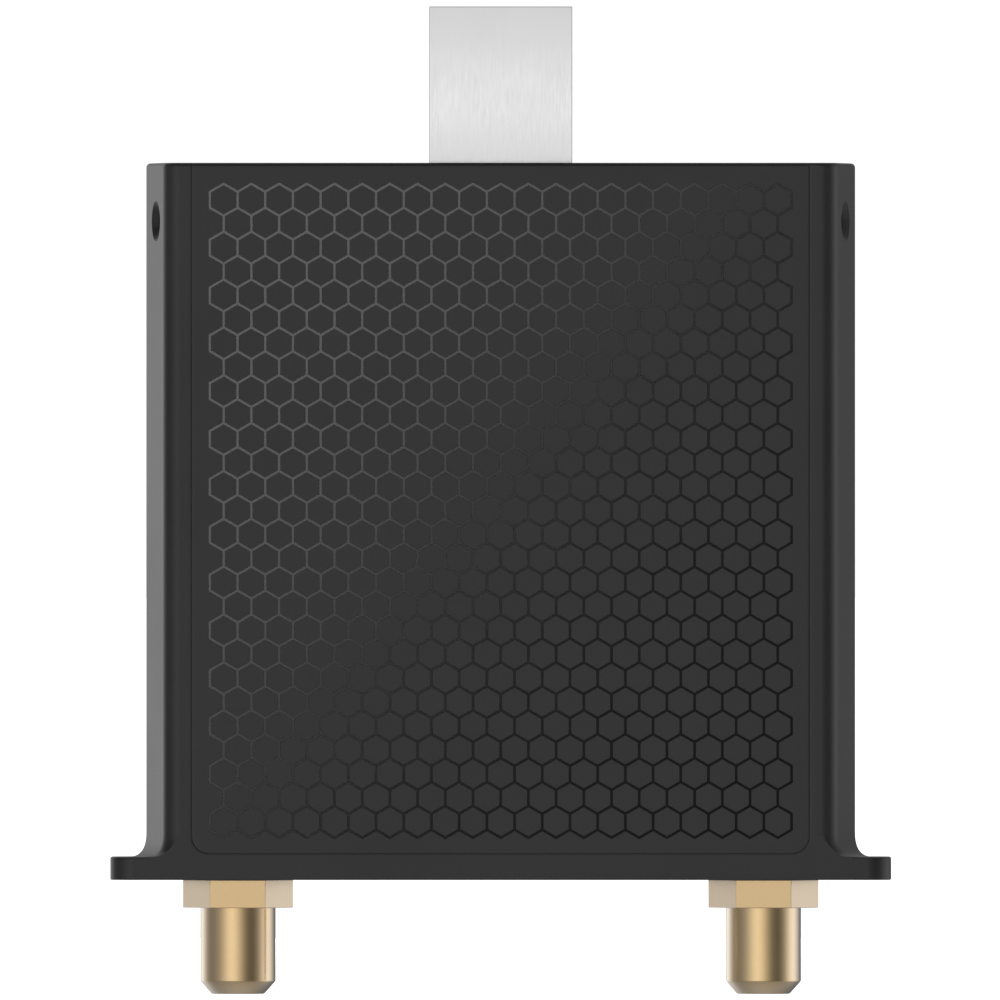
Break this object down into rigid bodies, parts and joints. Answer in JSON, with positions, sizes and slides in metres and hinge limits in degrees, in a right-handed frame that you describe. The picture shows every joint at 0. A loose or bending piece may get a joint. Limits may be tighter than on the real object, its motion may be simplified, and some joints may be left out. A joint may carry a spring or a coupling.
{
  "type": "plug-in cellular module",
  "caption": "Flanged black module with slanted sides and a honeycomb front panel, a USB plug on top and gold antenna jacks under the flange.",
  "frame": {"origin": "centre of the flange's outer face, midway between the two antenna jacks", "axes": "+Z from the flange to the plug, +Y from the honeycomb front to the back, +X to the viewer's right"},
  "size_m": [0.0654, 0.01, 0.0827],
  "materials": {
    "black_metal": "black anodised over a fine bead blast; the cover's honeycomb lines are polished",
    "black_screw": "black oxide",
    "zinc_screw": "zinc plated",
    "plug_steel": "satin nickel over folded steel",
    "plug_plastic": "moulded, fine grain",
    "contact_gold": "gold plated, bright",
    "jack_gold": "gold plated, satin",
    "white_sleeve": "turned, waxy",
    "board_green": "solder mask over glass laminate",
    "shield_tin": "tin plated sheet",
    "chip_black": "moulded package",
    "thermal_grey": "soft gap filler"
  },
  "bodies": {
    "root": {"housing": "black_metal", "front_cover": "black_metal", "cover_screw_1": "black_screw", "cover_screw_2": "black_screw", "cover_screw_3": "black_screw", "cover_screw_4": "black_screw", "board_screw_1": "zinc_screw", "board_screw_2": "zinc_screw", "board_screw_3": "zinc_screw", "board_screw_4": "zinc_screw", "usb_shell": "plug_steel", "usb_insulator": "plug_plastic", "usb_contact_power": "contact_gold", "usb_contact_data_minus": "contact_gold", "usb_contact_data_plus": "contact_gold", "usb_contact_ground": "contact_gold", "jack_socket_left": "contact_gold", "jack_socket_right": "contact_gold", "antenna_jack_left": "jack_gold", "antenna_jack_right": "jack_gold", "antenna_nut_left": "jack_gold", "antenna_nut_right": "jack_gold", "jack_insulator_left": "white_sleeve", "jack_insulator_right": "white_sleeve", "main_board": "board_green", "radio_shield": "shield_tin", "filter_left": "shield_tin", "filter_right": "shield_tin", "clock_crystal": "shield_tin", "modem_chip": "chip_black", "transceiver_chip": "chip_black", "memory_chip": "chip_black", "amplifier_left": "chip_black", "amplifier_right": "chip_black", "power_inductor": "chip_black", "power_regulator": "chip_black", "power_capacitor_1": "chip_black", "power_capacitor_2": "chip_black", "subscriber_chip": "chip_black", "surge_protector": "chip_black", "thermal_pad": "thermal_grey"}
  },
  "joints": []
}
